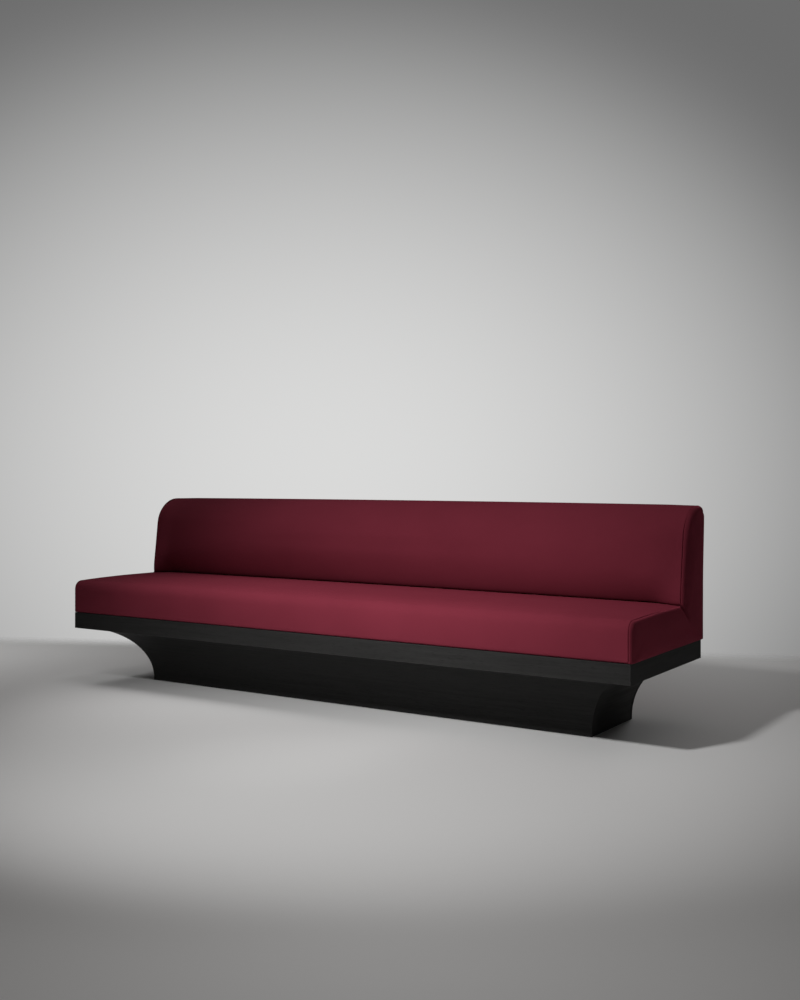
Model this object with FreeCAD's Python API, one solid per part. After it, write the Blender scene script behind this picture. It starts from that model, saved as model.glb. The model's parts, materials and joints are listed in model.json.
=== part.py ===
import FreeCAD, Part
import math
import os

# A long bench sofa: a coved wooden plinth and band carry a tightly upholstered seat and back.
# Millimetres. X runs along the sofa, -Y is the front, +Z is up.
# The origin lies on the floor under the middle of the sofa.

# Band round the sofa
length = 2580.0
depth = 680.0
band_height = 68.0
band_thickness = 18.0
band_quirk = 10.0

# Plinth under the band
cove_radius = 230.0
cove_foot = 10.0
cove_skin = 12.0
rear_setback = 72.0
rear_board_thickness = 18.0
sill_width = 44.0
sill_height = 32.0
rib_count = 5
rib_thickness = 18.0
rib_nose = 20.0
end_rib_count = 2
deck_thickness = 18.0
glue_gap = 0.3

# Frame inside the upholstery
frame_clearance = 1.0
former_count = 6
former_thickness = 28.0
rail_thickness = 28.0
arm_drop = 40.0
back_rail_height = 60.0
back_rail_thickness = 22.0
back_board_thickness = 4.0
corner_block_leg = 70.0
corner_block_height = 50.0
housing_clearance = 0.3

# Bolts from the deck into the inner formers
bolt_diameter = 8.0
bolt_length = 70.0
bolt_head_across = 13.0
bolt_head_height = 5.3
bolt_hole_clearance = 0.4
bolt_front_inset = 170.0
bolt_rear_inset = 120.0

# Webbing
strap_width = 50.0
strap_thickness = 2.0
strap_gap = 0.3
cross_strap_count = 24
long_strap_count = 3
back_strap_count = 18

# Upholstery
overhang = 5.0
cover_thickness = 2.5
seat_edge_height = 449.0
seat_foam_thickness = 64.0
seat_crown = 9.0
seat_front_radius = 24.0
seat_end_draw = 9.0
back_thickness = 205.0
back_rake = 7.4
back_height = 800.0
back_round = 126.0
back_rear_radius = 28.0
back_end_draw = 6.0
back_foam_thickness = 44.0
draw_length = 120.0
seat_tuck = 20.0
crease_gap = 0.5
end_bulge = 5.0
end_bulge_inset = 12.0

# Heights and faces that several pieces share
half_length = length / 2
half_depth = depth / 2
band_bottom = cove_foot + cove_radius
band_top = band_bottom + band_height
deck_bottom = band_bottom + cove_skin
deck_top = deck_bottom + deck_thickness
cove_x = half_length - band_quirk
cove_y = half_depth - band_quirk
tray_x = half_length - band_thickness
tray_y = half_depth - band_thickness
skin_radius = cove_radius + cove_skin
rear_face_y = half_depth - rear_setback
rear_inner_y = rear_face_y - rear_board_thickness
floor_x = cove_x - skin_radius
floor_y = -cove_y + skin_radius

frame_x = tray_x - frame_clearance
frame_y = tray_y - frame_clearance
former_inner_x = frame_x - former_thickness
web_step = strap_thickness + strap_gap
seat_foam_bottom = seat_edge_height - cover_thickness - seat_foam_thickness
rail_top = seat_foam_bottom - 2 * web_step - strap_gap
arm_top = rail_top - arm_drop
back_board_y = frame_y + back_board_thickness

cover_front_y = -(half_depth + overhang)
cover_rear_y = half_depth + overhang
cover_x = half_length + overhang
cap_x = cover_x - cover_thickness
back_foot_y = cover_rear_y - back_thickness
seat_rear_y = back_foot_y + seat_tuck
rake_slope = math.tan(math.radians(back_rake))
rake_cos = math.cos(math.radians(back_rake))
rake_sin = math.sin(math.radians(back_rake))
round_z = back_height - back_round
round_tangent_z = round_z + back_round * rake_sin
round_y = back_foot_y + (round_tangent_z - seat_edge_height) * rake_slope + back_round * rake_cos
former_inset = cover_thickness + back_foam_thickness + strap_thickness
top_rail_z = round_z + (back_round - former_inset) * rake_sin
crest_top = back_height - former_inset
rear_join_z = back_height - back_end_draw - back_rear_radius - 2 * cover_thickness


# Small helpers

def across(x):
    """Puts an outline drawn in (Y, Z) on the plane at x."""
    return lambda point: FreeCAD.Vector(x, point[0], point[1])


def along(y):
    """Puts an outline drawn in (X, Z) on the plane at y."""
    return lambda point: FreeCAD.Vector(point[0], y, point[1])


def level(z):
    """Puts an outline drawn in (X, Y) on the plane at z."""
    return lambda point: FreeCAD.Vector(point[0], point[1], z)


def arc(centre, radius, start, end):
    """An arc as (start, middle, end) points; angles in degrees."""
    points = []
    for angle in (start, (start + end) / 2, end):
        turn = math.radians(angle)
        points.append((centre[0] + radius * math.cos(turn), centre[1] + radius * math.sin(turn)))
    return tuple(points)


def backwards(path):
    """The same path run from its other end."""
    return [tuple(reversed(segment)) for segment in reversed(path)]


def straight(*corners):
    """Straight segments through the corners."""
    return list(zip(corners[:-1], corners[1:]))


def wire(path, place):
    """A closed wire of straight (two-point) and arc (three-point) segments, with gaps joined straight."""
    edges = []
    following = path[1:] + path[:1]
    for segment, after in zip(path, following):
        points = [place(point) for point in segment]
        if len(points) == 3:
            edges.append(Part.Arc(*points).toShape())
        else:
            edges.append(Part.LineSegment(*points).toShape())
        start = place(after[0])
        if points[-1].distanceToPoint(start) > 1e-6:
            edges.append(Part.LineSegment(points[-1], start).toShape())
    return Part.Wire(edges)


def plate(path, place, thickness):
    """A flat piece: the outline placed, then given its thickness."""
    return Part.Face(wire(path, place)).extrude(thickness)


def block(x0, x1, y0, y1, z0, z1):
    return Part.makeBox(x1 - x0, y1 - y0, z1 - z0, FreeCAD.Vector(x0, y0, z0))


def prism(corners, z0, z1):
    """An upright prism over a plan polygon."""
    return plate(straight(*corners), level(z0), FreeCAD.Vector(0, 0, z1 - z0))


def mirrored(shape):
    """The same piece at the other end of the sofa."""
    return shape.mirror(FreeCAD.Vector(0, 0, 0), FreeCAD.Vector(1, 0, 0))


def evenly(first, last, count):
    """Evenly spread positions, both ends included."""
    return [first + (last - first) * i / (count - 1) for i in range(count)]


def spread(low, high, count):
    """The centres of count equal bays between low and high."""
    bay = (high - low) / count
    return [low + bay * (i + 0.5) for i in range(count)]


def along_x(length_x):
    return FreeCAD.Vector(length_x, 0, 0)


def along_y(length_y):
    return FreeCAD.Vector(0, length_y, 0)


nodes = {}


# Plinth: bent skins with mitred corners, a flat rear board, sills and ribs

def cove_section():
    """The skin in (distance out from the cove centre line, height); the hollow faces outward."""
    centre = (0.0, cove_foot)
    outer = straight((cove_radius, 0.0), (cove_radius, cove_foot)) + [arc(centre, cove_radius, 0, 90)]
    inner = [arc(centre, skin_radius, 90, 0)] + straight((skin_radius, cove_foot), (skin_radius, 0.0))
    return outer + inner


def rib_edge():
    """The rib's hollow edge, bottom to top, in (distance in from the cove centre line, height)."""
    radius = skin_radius + glue_gap
    low = math.degrees(math.asin((sill_height - cove_foot) / radius))
    high = math.degrees(math.asin((deck_bottom - rib_nose - cove_foot) / radius))
    return arc((0.0, cove_foot), radius, low, high)


def build_plinth():
    def front(point):
        return FreeCAD.Vector(-cove_x, -cove_y + point[0], point[1])

    def right(point):
        return FreeCAD.Vector(cove_x - point[0], -cove_y, point[1])

    front_plan = prism([(-cove_x, -cove_y), (cove_x, -cove_y),
                        (cove_x - skin_radius, -cove_y + skin_radius),
                        (-cove_x + skin_radius, -cove_y + skin_radius)], 0, deck_bottom)
    nodes["plinth_front_cove"] = plate(cove_section(), front, along_x(2 * cove_x)).common(front_plan)

    right_plan = prism([(cove_x, -cove_y), (cove_x, rear_inner_y),
                        (cove_x - skin_radius, rear_inner_y),
                        (cove_x - skin_radius, -cove_y + skin_radius)], 0, deck_bottom)
    right_cove = plate(cove_section(), right, along_y(rear_inner_y + cove_y)).common(right_plan)
    nodes["plinth_right_cove"] = right_cove
    nodes["plinth_left_cove"] = mirrored(right_cove)

    foot = cove_x - cove_radius
    rear_outline = straight((-foot, 0.0), (foot, 0.0), (foot, cove_foot))
    rear_outline.append(arc((cove_x, cove_foot), cove_radius, 180, 90))
    rear_outline += straight((cove_x, band_bottom), (cove_x, deck_bottom), (-cove_x, deck_bottom),
                             (-cove_x, band_bottom))
    rear_outline.append(arc((-cove_x, cove_foot), cove_radius, 90, 0))
    nodes["plinth_rear_board"] = plate(rear_outline, along(rear_inner_y), along_y(rear_board_thickness))

    sill_x = floor_x - sill_width
    sill_y0 = floor_y + sill_width
    sill_y1 = rear_inner_y - sill_width
    nodes["sill_front"] = block(-floor_x, floor_x, floor_y, sill_y0, 0, sill_height)
    nodes["sill_rear"] = block(-floor_x, floor_x, sill_y1, rear_inner_y, 0, sill_height)
    nodes["sill_right"] = block(sill_x, floor_x, sill_y0, sill_y1, 0, sill_height)
    nodes["sill_left"] = mirrored(nodes["sill_right"])

    edge = [(-cove_y + reach, height) for reach, height in rib_edge()]
    nose_y = edge[-1][0]
    rib_outline = [tuple(edge)] + straight(edge[-1], (nose_y, deck_bottom), (rear_inner_y, deck_bottom),
                                           (rear_inner_y, sill_height))
    last_rib = floor_x - sill_width / 2
    for number, x in enumerate(evenly(-last_rib, last_rib, rib_count), 1):
        nodes["rib_%d" % number] = plate(rib_outline, across(x - rib_thickness / 2), along_x(rib_thickness))

    edge = [(cove_x - reach, height) for reach, height in rib_edge()]
    root_x = last_rib + rib_thickness / 2
    end_rib_outline = [tuple(edge)] + straight(edge[-1], (edge[-1][0], deck_bottom), (root_x, deck_bottom),
                                               (root_x, sill_height))
    for number, y in enumerate(spread(floor_y, rear_inner_y, end_rib_count), 1):
        end_rib = plate(end_rib_outline, along(y - rib_thickness / 2), along_y(rib_thickness))
        nodes["end_rib_right_%d" % number] = end_rib
        nodes["end_rib_left_%d" % number] = mirrored(end_rib)


# Band: four mitred boards; those over a cove have a rebate that takes the skin's top edge

def build_band():
    front = prism([(-half_length, -half_depth), (half_length, -half_depth), (tray_x, -tray_y),
                   (-tray_x, -tray_y)], band_bottom, band_top)
    right = prism([(half_length, -half_depth), (half_length, half_depth), (tray_x, tray_y),
                   (tray_x, -tray_y)], band_bottom, band_top)
    rebate = block(-cove_x, cove_x, -cove_y, half_depth, band_bottom, deck_bottom)
    nodes["band_rear"] = front.mirror(FreeCAD.Vector(0, 0, 0), FreeCAD.Vector(0, 1, 0))
    nodes["band_front"] = front.cut(rebate)
    nodes["band_right"] = right.cut(rebate)
    nodes["band_left"] = mirrored(nodes["band_right"])


# Frame: L-shaped formers, rails let into them, corner blocks

def rake_y(inset, z):
    """Where a face set in from the back's raked front lies at a height."""
    return back_foot_y + (z - seat_edge_height) * rake_slope + inset / rake_cos


web_rear_y = rake_y(former_inset, arm_top) - housing_clearance


def raked_rail(top_z, slack=0.0):
    """A rail lying in the rake, its front face on the back of the webbing; slack makes its housing."""
    rail = block(-former_inner_x, former_inner_x, -slack, back_rail_thickness + slack,
                 -back_rail_height - slack, slack)
    rail.rotate(FreeCAD.Vector(0, 0, 0), FreeCAD.Vector(1, 0, 0), -back_rake)
    rail.translate(FreeCAD.Vector(0, rake_y(former_inset, top_z), top_z))
    return rail


def crest_rail(slack=0.0):
    """The rail under the flat of the back's top; slack makes its housing."""
    return block(-former_inner_x, former_inner_x, round_y - slack, frame_y + slack,
                 crest_top - back_rail_height - slack, crest_top + slack)


def former_path(foot_z):
    """The former's back, from its foot in the rake over the top to the rear face."""
    rounding = arc((round_y, round_z), back_round - former_inset, 180 - back_rake, 90)
    foot = (rake_y(former_inset, foot_z), foot_z)
    return [(foot, rounding[0]), rounding, (rounding[-1], (frame_y, crest_top))]


def bolt_shape(radius, head):
    """A hex bolt pointing up, its head under the deck."""
    shank = Part.makeCylinder(radius, bolt_length, FreeCAD.Vector(0, 0, deck_bottom))
    if not head:
        return shank
    corner = bolt_head_across / math.sqrt(3)
    corners = [(corner * math.cos(math.radians(60 * i)), corner * math.sin(math.radians(60 * i))) for i in range(6)]
    return shank.fuse(prism(corners, deck_bottom - bolt_head_height, deck_bottom))


def build_rails():
    front_y = -frame_y + rail_thickness
    rear_y = frame_y - rail_thickness
    nodes["seat_front_rail"] = block(-frame_x, frame_x, -frame_y, front_y, deck_top, rail_top)
    nodes["seat_rear_rail"] = block(-frame_x, frame_x, rear_y, frame_y, deck_top, rail_top)
    nodes["seat_web_rail"] = block(-former_inner_x, former_inner_x, web_rear_y - rail_thickness, web_rear_y,
                                   arm_top, rail_top)
    nodes["back_top_rail"] = raked_rail(top_rail_z)
    nodes["back_lower_rail"] = raked_rail(seat_edge_height)
    nodes["back_crest_rail"] = crest_rail()
    nodes["back_board"] = block(-frame_x, frame_x, frame_y, back_board_y, band_top, crest_top)

    front_block = prism([(former_inner_x, front_y), (former_inner_x, front_y + corner_block_leg),
                         (former_inner_x - corner_block_leg, front_y)], deck_top, deck_top + corner_block_height)
    rear_block = front_block.mirror(FreeCAD.Vector(0, 0, 0), FreeCAD.Vector(0, 1, 0))
    blocks = [front_block, rear_block, mirrored(front_block), mirrored(rear_block)]
    nodes["seat_corner_blocks"] = Part.makeCompound(blocks)


def former_outline(arm_z):
    """The L-shaped former; its arm's top is at arm_z and its rear foot is notched for the rear rail."""
    front_end = -frame_y + rail_thickness
    notch_y = frame_y - rail_thickness
    under = straight((frame_y, rail_top), (notch_y, rail_top), (notch_y, deck_top), (front_end, deck_top))
    arm = straight((front_end, arm_z), (rake_y(former_inset, arm_z), arm_z))
    return former_path(arm_z) + under + arm


def build_formers():
    end_former = plate(former_outline(rail_top), across(former_inner_x), along_x(former_thickness))
    nodes["end_former_right"] = end_former
    nodes["end_former_left"] = mirrored(end_former)

    slack = housing_clearance
    housings = [raked_rail(top_rail_z, slack), raked_rail(seat_edge_height, slack), crest_rail(slack)]
    end_centre = former_inner_x + former_thickness / 2
    bolts = []
    holes = []
    for number, x in enumerate(evenly(-end_centre, end_centre, former_count)[1:-1], 1):
        former = plate(former_outline(arm_top), across(x - former_thickness / 2), along_x(former_thickness))
        for y in (-frame_y + bolt_front_inset, frame_y - bolt_rear_inset):
            place = FreeCAD.Vector(x, y, 0)
            bolts.append(bolt_shape(bolt_diameter / 2, True).translated(place))
            holes.append(bolt_shape(bolt_diameter / 2 + bolt_hole_clearance, False).translated(place))
        nodes["former_%d" % number] = former.cut(housings + holes)
    nodes["frame_bolts"] = Part.makeCompound(bolts)

    right_deck = block(0, tray_x, -tray_y, tray_y, deck_bottom, deck_top)
    nodes["deck_right"] = right_deck.cut(holes)
    nodes["deck_left"] = mirrored(right_deck).cut(holes)


# Webbing: cross straps lie flat, long straps weave through them

def build_webbing():
    cross_x = spread(-former_inner_x, former_inner_x, cross_strap_count)
    cross = [block(x - strap_width / 2, x + strap_width / 2, -frame_y, web_rear_y,
                   rail_top, rail_top + strap_thickness) for x in cross_x]
    nodes["seat_cross_webbing"] = Part.makeCompound(cross)

    line = [(-frame_x, rail_top), (-former_inner_x, rail_top)]
    for number, x in enumerate(cross_x):
        z = rail_top + (web_step if number % 2 else -web_step)
        line += [(x - strap_width / 2, z), (x + strap_width / 2, z)]
    line += [(former_inner_x, rail_top), (frame_x, rail_top)]
    upper = [(x, z + strap_thickness) for x, z in line]
    ribbon = straight(*(line + upper[::-1]))
    long_y = spread(-frame_y, web_rear_y, long_strap_count)
    straps = [plate(ribbon, along(y - strap_width / 2), along_y(strap_width)) for y in long_y]
    nodes["seat_long_webbing"] = Part.makeCompound(straps)

    front_inset = cover_thickness + back_foam_thickness
    low_z = seat_edge_height - back_rail_height * rake_cos
    section = straight((rake_y(front_inset, low_z), low_z), (rake_y(front_inset, top_rail_z), top_rail_z),
                       (rake_y(former_inset, top_rail_z), top_rail_z), (rake_y(former_inset, low_z), low_z))
    back = [plate(section, across(x - strap_width / 2), along_x(strap_width))
            for x in spread(-former_inner_x, former_inner_x, back_strap_count)]
    nodes["back_webbing"] = Part.makeCompound(back)


# Upholstery: foam inside covers, drawn in toward the end seams

def seat_path(inset, draw):
    """The seat from the foot of its front over the crown to its rear edge under the back."""
    front_y = cover_front_y + inset
    edge_z = seat_edge_height - draw - inset
    radius = seat_front_radius - inset
    corner = arc((front_y + radius, edge_z - radius), radius, 180, 90)
    crease = (back_foot_y, edge_z)
    middle = ((corner[-1][0] + crease[0]) / 2, edge_z + seat_crown)
    return [((front_y, band_top), corner[0]), corner, (corner[-1], middle, crease),
            (crease, (seat_rear_y, edge_z))]


def back_path(inset, seat_draw, back_draw):
    """The back from its foot on the seat over the top to the join with the rear cover."""
    foot_z = seat_edge_height - seat_draw + crease_gap
    centre = (round_y + back_draw, round_z - back_draw)
    rounding = arc(centre, back_round - inset, 180 - back_rake, 90)
    foot = (rake_y(inset, foot_z) + back_draw, foot_z)
    rear_radius = back_rear_radius - inset
    rear_z = back_height - back_draw - back_rear_radius
    rear = arc((cover_rear_y - back_rear_radius, rear_z), rear_radius, 90, 0)
    return [(foot, rounding[0]), rounding, (rounding[-1], rear[0]), rear,
            (rear[-1], (rear[-1][0], rear_join_z))]


def loft(sections):
    """A solid through closed outlines given as (x, path)."""
    return Part.makeLoft([wire(path, across(x)) for x, path in sections], True, True)


def draw_share(x):
    """How much of the end draw has been reached at x: none up to draw_length from the end seam, then all of it."""
    return (x - cap_x + draw_length) / draw_length


def stations(end_x):
    """(x, share of the end draw) along the sofa, up to the two ends."""
    full_x = cap_x - draw_length
    share = draw_share(end_x)
    return [(-end_x, share), (-full_x, 0.0), (full_x, 0.0), (end_x, share)]


def build_covers():
    seat = []
    back = []
    for x, share in stations(cap_x):
        seat_draw = seat_end_draw * share
        back_draw = back_end_draw * share
        seat.append((x, seat_path(0, seat_draw) + backwards(seat_path(cover_thickness, seat_draw))))
        back.append((x, back_path(0, seat_draw, back_draw)
                     + backwards(back_path(cover_thickness, seat_draw, back_draw))))
    nodes["seat_cover"] = loft(seat)
    nodes["back_cover"] = loft(back)
    nodes["rear_cover"] = block(-cap_x, cap_x, cover_rear_y - cover_thickness, cover_rear_y,
                                band_top, rear_join_z)


def end_outline(inset):
    """The L-shaped end, seat and back in one."""
    seat = seat_path(inset, seat_end_draw)
    back = back_path(inset, seat_end_draw, back_end_draw)
    crease_z = seat[-1][-1][1]
    crease = (rake_y(inset, crease_z) + back_end_draw, crease_z)
    ledge = (seat[-1][0], crease)
    rear_top = back[-1][0]
    return seat[:-1] + [ledge, (crease, back[0][1])] + back[1:-1] + [(rear_top, (rear_top[0], band_top))]


def build_end_covers():
    outer = end_outline(0)
    crowned = end_outline(end_bulge_inset)
    right = loft([(cap_x, outer), (cover_x, outer)]).fuse(
        loft([(cover_x, outer), (cover_x + end_bulge, crowned)])).removeSplitter()
    nodes["end_cover_right"] = right
    nodes["end_cover_left"] = mirrored(right)


def build_foam():
    seat = []
    back = []
    for x, share in stations(frame_x):
        seat_draw = seat_end_draw * share
        back_draw = back_end_draw * share
        seat.append((x, seat_path(cover_thickness, seat_draw)
                     + straight((seat_rear_y, seat_foam_bottom), (-frame_y, seat_foam_bottom),
                                (-frame_y, band_top))))
        outer = back_path(cover_thickness, seat_draw, back_draw)
        inset = cover_thickness + back_foam_thickness
        rounding = arc((round_y, round_z), back_round - inset, 90, 180 - back_rake)
        foot_z = outer[0][0][1]
        inner = straight((back_board_y, rear_join_z), (back_board_y, rounding[0][1]), rounding[0])
        inner += [rounding, (rounding[-1], (rake_y(inset, foot_z), foot_z))]
        back.append((x, outer + inner))
    nodes["seat_foam"] = loft(seat)
    nodes["back_foam"] = loft(back)

    rear_in = cover_rear_y - cover_thickness
    nodes["rear_pad"] = block(-frame_x, frame_x, back_board_y, rear_in, band_top, rear_join_z)

    seat_end = seat_path(cover_thickness, seat_end_draw)
    seat_end += straight((rear_in, seat_end[-1][-1][1]), (rear_in, band_top))
    back_end = back_path(cover_thickness, seat_end_draw * draw_share(frame_x), back_end_draw)
    back_end += straight((rear_in, back_end[0][0][1]), back_end[0][0])
    pads = {"seat_end_pad": seat_end, "back_end_pad": back_end}
    for name, outline in pads.items():
        pad = plate(outline, across(frame_x), along_x(cap_x - frame_x))
        nodes[name + "_right"] = pad
        nodes[name + "_left"] = mirrored(pad)


build_plinth()
build_band()
build_rails()
build_formers()
build_webbing()
build_covers()
build_end_covers()
build_foam()

os.makedirs("parts", exist_ok=True)
for name, shape in nodes.items():
    shape.exportStep("parts/%s.step" % name)
print("%d nodes" % len(nodes))
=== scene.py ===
# %% [markdown]
# # A long bench sofa on a coved plinth
# The frame brings in the sofa as its maker builds it: a wooden plinth that curves in under a straight
# band, a timber frame with webbing, and foam under cloth. This lesson dresses it. The boards that show
# are rebuilt with softened edges, the cloth parts are puffed up by a cloth simulation, and every piece
# gets a finish made of nodes. All sizes are metres, in the frame's own axes.

# %% Load the frame and keep its box
import json
import math

import bmesh
import bpy
from mathutils import Matrix, Vector
from mathutils.kdtree import KDTree


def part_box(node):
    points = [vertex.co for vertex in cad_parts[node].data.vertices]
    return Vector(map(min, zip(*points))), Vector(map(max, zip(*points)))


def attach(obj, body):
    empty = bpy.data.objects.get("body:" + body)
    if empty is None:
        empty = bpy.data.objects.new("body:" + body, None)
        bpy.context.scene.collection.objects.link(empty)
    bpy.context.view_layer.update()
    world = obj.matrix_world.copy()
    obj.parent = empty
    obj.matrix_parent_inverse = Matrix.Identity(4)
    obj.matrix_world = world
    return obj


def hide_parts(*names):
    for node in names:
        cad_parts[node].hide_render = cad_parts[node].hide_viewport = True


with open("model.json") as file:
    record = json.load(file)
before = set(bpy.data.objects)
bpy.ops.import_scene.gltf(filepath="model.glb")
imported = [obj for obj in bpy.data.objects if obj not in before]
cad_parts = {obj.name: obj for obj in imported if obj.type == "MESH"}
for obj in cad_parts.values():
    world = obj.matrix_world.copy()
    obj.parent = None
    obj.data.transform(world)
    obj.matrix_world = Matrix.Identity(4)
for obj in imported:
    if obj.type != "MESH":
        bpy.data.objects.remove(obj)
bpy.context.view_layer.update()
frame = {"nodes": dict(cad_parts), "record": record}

scene = bpy.context.scene
scene.view_settings.view_transform = "Standard"
nodes_of_frame = frame["nodes"]

# %% [markdown]
# ## The camera
# A product picture is usually taken with a level camera, so that upright edges stay upright. The camera
# could be tilted down to frame the sofa, but then those edges would lean. So the lens is shifted down
# instead. Blender's camera has the same shift, as a share of the longer side of the picture.

# %% Place the camera
camera_place = (2.767, -3.983, 0.942)
camera_turn = 32.93
camera_data = bpy.data.cameras.new("level_camera")
camera_data.lens = 43.22
camera_data.sensor_width = 36.0
camera_data.shift_y = -0.0324
camera = bpy.data.objects.new("level_camera", camera_data)
camera.location = camera_place
camera.rotation_euler = (math.radians(90.0), 0.0, math.radians(camera_turn))
scene.collection.objects.link(camera)
scene.camera = camera
print("camera:", camera_place, "turned by", camera_turn, "degrees")

# %% [markdown]
# ## Small helpers for node trees
# A finish in Blender is a tree of nodes. It could be wired by hand in the shader editor, but a script can
# be read and run again. Building a tree in code takes the same three steps over and over: make a node,
# feed its sockets, take its output. Each helper does them in one line. A socket may be fed by another
# node's output or by a plain value.

# %% Helpers for node trees
def feed(tree, socket, value):
    if isinstance(value, bpy.types.NodeSocket):
        tree.links.new(value, socket)
    else:
        socket.default_value = value


def measured(tree, operation, place, against):
    """A number worked out from two vectors, such as their distance."""
    node = tree.nodes.new("ShaderNodeVectorMath")
    node.operation = operation
    feed(tree, node.inputs[0], place)
    feed(tree, node.inputs[1], against)
    return node.outputs["Value"]


def remap(tree, value, low, high, to_low, to_high):
    """Carries a value from one range to another by a smooth step."""
    node = tree.nodes.new("ShaderNodeMapRange")
    node.interpolation_type = "SMOOTHSTEP"
    for socket, number in zip(node.inputs[:5], (value, low, high, to_low, to_high)):
        feed(tree, socket, number)
    return node.outputs[0]


def between(tree, share, first, second):
    """The colour that lies a share of the way from the first to the second."""
    node = tree.nodes.new("ShaderNodeMix")
    node.data_type = "RGBA"
    feed(tree, node.inputs[0], share)
    feed(tree, node.inputs[6], first)
    feed(tree, node.inputs[7], second)
    return node.outputs[2]


def blended(tree, share, first, second):
    """The shader that lies a share of the way from the first to the second."""
    node = tree.nodes.new("ShaderNodeMixShader")
    for socket, value in zip(node.inputs, (share, first, second)):
        tree.links.new(value, socket)
    return node.outputs[0]


def object_place(tree):
    return tree.nodes.new("ShaderNodeTexCoord").outputs["Object"]


def rgba(red, green, blue):
    return (red, green, blue, 1.0)


def new_finish(name):
    made = bpy.data.materials.new(name)
    made.use_nodes = True
    return made, made.node_tree, made.node_tree.nodes["Principled BSDF"].inputs


# %% [markdown]
# ## The floor
# The floor is a wide flat disc. It could be a sheet that curves up into a wall behind the sofa, as in many
# studios, but then the lamps would decide the wall's shade. A flat disc, with a background of its own
# behind it, is easier to control.

# %% Lay the floor
floor_radius = 9.0
floor_mesh = bmesh.new()
bmesh.ops.create_circle(floor_mesh, cap_ends=True, segments=96, radius=floor_radius)
floor_data = bpy.data.meshes.new("floor")
floor_mesh.to_mesh(floor_data)
floor_mesh.free()
floor = bpy.data.objects.new("floor", floor_data)
scene.collection.objects.link(floor)
print("floor of radius", floor_radius)

# %% [markdown]
# ## The paint of the floor
# One lamp makes a bright pool on a floor. This floor is painted darker in the pool, which keeps the pool
# soft. Its far part is mixed with a transparent shader, so it fades away, and no line shows where floor
# and background meet.

# %% Paint the floor
pool_middle = (0.3, -0.95, 0.0)
pool_core = 0.35
pool_rim = 1.6
pool_shade = rgba(0.445, 0.442, 0.438)
floor_shade = rgba(0.70, 0.695, 0.69)
to_the_wall = (-0.41, 0.905, 0.0)
fade_start = 1.22
fade_end = 1.55

floor_paint, tree, paint = new_finish("pale_floor")
from_pool = measured(tree, "DISTANCE", object_place(tree), pool_middle)
outside = remap(tree, from_pool, pool_core, pool_rim, 0.0, 1.0)
feed(tree, paint["Base Color"], between(tree, outside, pool_shade, floor_shade))
paint["Roughness"].default_value = 0.75
paint["Specular IOR Level"].default_value = 0.2
behind = measured(tree, "DOT_PRODUCT", object_place(tree), to_the_wall)
fade = remap(tree, behind, fade_start, fade_end, 0.0, 1.0)
painted = tree.nodes["Principled BSDF"].outputs[0]
clear = tree.nodes.new("ShaderNodeBsdfTransparent").outputs[0]
tree.links.new(blended(tree, fade, painted, clear), tree.nodes["Material Output"].inputs["Surface"])
floor_data.materials.append(floor_paint)
print("floor fades from", fade_start, "to", fade_end)

# %% [markdown]
# ## The fill
# A studio's ceiling throws a little light back on everything. An even world would do the same, but it
# would also light the hollow of the plinth from the front. So this fill comes from above only, and gets
# weaker towards the horizon.

# %% Fill from above
fill_strength = 0.27
fill_tint = rgba(1.0, 0.98, 0.96)


def sums(tree, operation, *values):
    node = tree.nodes.new("ShaderNodeMath")
    node.operation = operation
    for socket, value in zip(node.inputs, values):
        feed(tree, socket, value)
    return node.outputs[0]


def apart(tree, place):
    """The X, Y and Z of a vector, as sockets by name."""
    node = tree.nodes.new("ShaderNodeSeparateXYZ")
    tree.links.new(place, node.inputs[0])
    return node.outputs


world = bpy.data.worlds.new("studio")
world.use_nodes = True
scene.world = world
tree = world.node_tree
direction = tree.nodes.new("ShaderNodeTexCoord").outputs["Generated"]
fill = tree.nodes["Background"]
fill.inputs["Color"].default_value = fill_tint
upward = sums(tree, "MAXIMUM", apart(tree, direction)["Z"], 0.0)
fill_share = sums(tree, "POWER", upward, 2.0)
feed(tree, fill.inputs["Strength"], sums(tree, "MULTIPLY", fill_share, fill_strength))
print("fill of", fill_strength)

# %% [markdown]
# ## The background
# What the camera, and a gloss, see behind the sofa is a soft glow that darkens all round, as a lit studio
# wall does. It could be a real wall with a lamp on it. A glow in the world is simpler, and the Light Path
# node keeps it from lighting the sofa: all other rays get the fill.

# %% Glow behind the sofa
glow_middle = Vector((-0.59, 0.81, 0.0)).normalized()
glow_angle = 27.5
glow_rim = math.cos(math.radians(glow_angle))
glow_stretch = (1.0, 1.0, 1.27)
glow_blend = 0.3
wall_shade = rgba(0.15, 0.15, 0.15)
glow_shade = rgba(0.695, 0.695, 0.69)


def stretched(tree, place, scale):
    """The same place, with each axis scaled, so that a pattern drawn on it is drawn out."""
    node = tree.nodes.new("ShaderNodeMapping")
    feed(tree, node.inputs["Vector"], place)
    feed(tree, node.inputs["Scale"], scale)
    return node.outputs["Vector"]


shown = tree.nodes.new("ShaderNodeBackground")
tall = tree.nodes.new("ShaderNodeVectorMath")
tall.operation = "NORMALIZE"
tree.links.new(stretched(tree, direction, glow_stretch), tall.inputs[0])
glow = measured(tree, "DOT_PRODUCT", tall.outputs["Vector"], glow_middle)
glow = sums(tree, "MULTIPLY_ADD", glow, 1.0 / (1.0 - glow_rim), -glow_rim / (1.0 - glow_rim))
glow = sums(tree, "SMOOTH_MAX", glow, 0.0, glow_blend)
tree.links.new(between(tree, glow, wall_shade, glow_shade), shown.inputs["Color"])

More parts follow.
